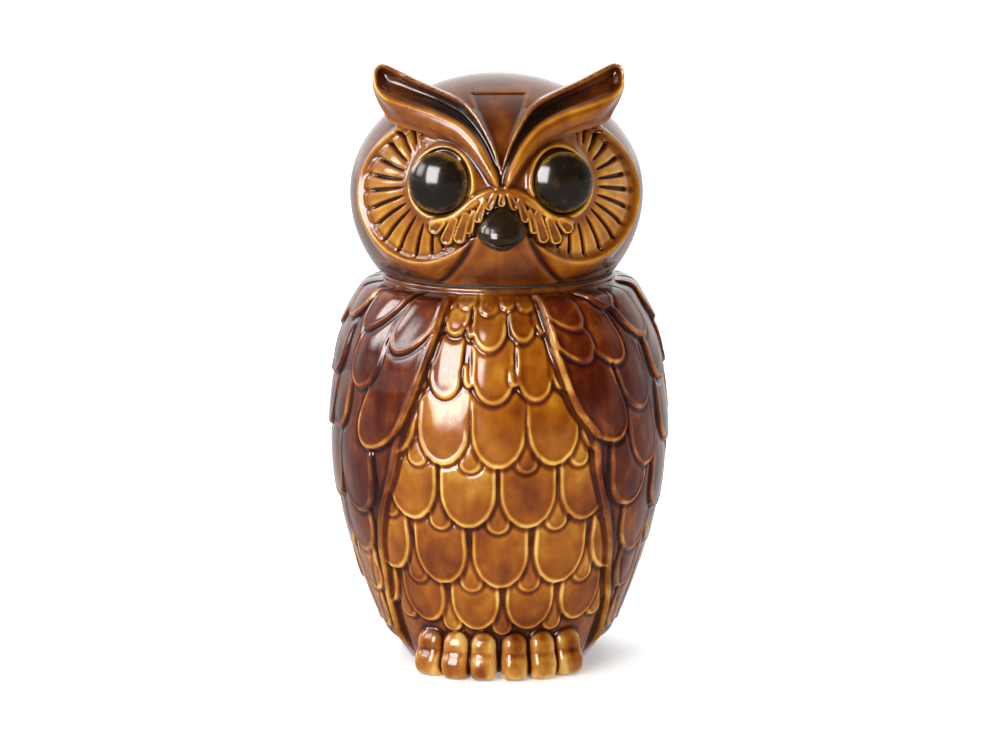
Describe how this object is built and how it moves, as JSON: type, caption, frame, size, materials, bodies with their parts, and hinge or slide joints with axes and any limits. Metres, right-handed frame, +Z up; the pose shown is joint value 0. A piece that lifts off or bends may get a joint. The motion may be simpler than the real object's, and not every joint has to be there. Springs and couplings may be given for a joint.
{
  "type": "coin bank",
  "caption": "Owl-shaped glazed ceramic coin bank: a hollow body, a seal ring, and a head that turns and lifts off as the lid, with a coin slot in its back.",
  "frame": {"origin": "middle of the foot, on the surface that the bank stands on", "axes": "+Z up, through the mouth and the crown of the head; the owl faces -Y, and its left wing is at +X"},
  "size_m": [0.1682, 0.1667, 0.2996],
  "materials": {
    "body_glaze": "glossy amber to mahogany reactive glaze",
    "head_glaze": "glossy brown reactive glaze",
    "eye_glaze": "glossy near-black brown glaze",
    "beak_glaze": "glossy near-black glaze",
    "seal": "matte"
  },
  "bodies": {
    "jar": {"body_shell": "body_glaze"},
    "seal": {"lid_seal": "seal"},
    "head": {"head_shell": "head_glaze", "left_eye": "eye_glaze", "right_eye": "eye_glaze", "upper_beak": "beak_glaze", "lower_beak": "beak_glaze"}
  },
  "joints": [
    {"name": "head_turn", "type": "hinge", "parent": "jar", "child": "seal", "pos_m": [0, 0, 0.194], "axis": [0, 0, 1], "continuous": true},
    {"name": "head_lift", "type": "slide", "parent": "seal", "child": "head", "axis": [0, 0, 1], "range_m": [0, 0.08]}
  ]
}
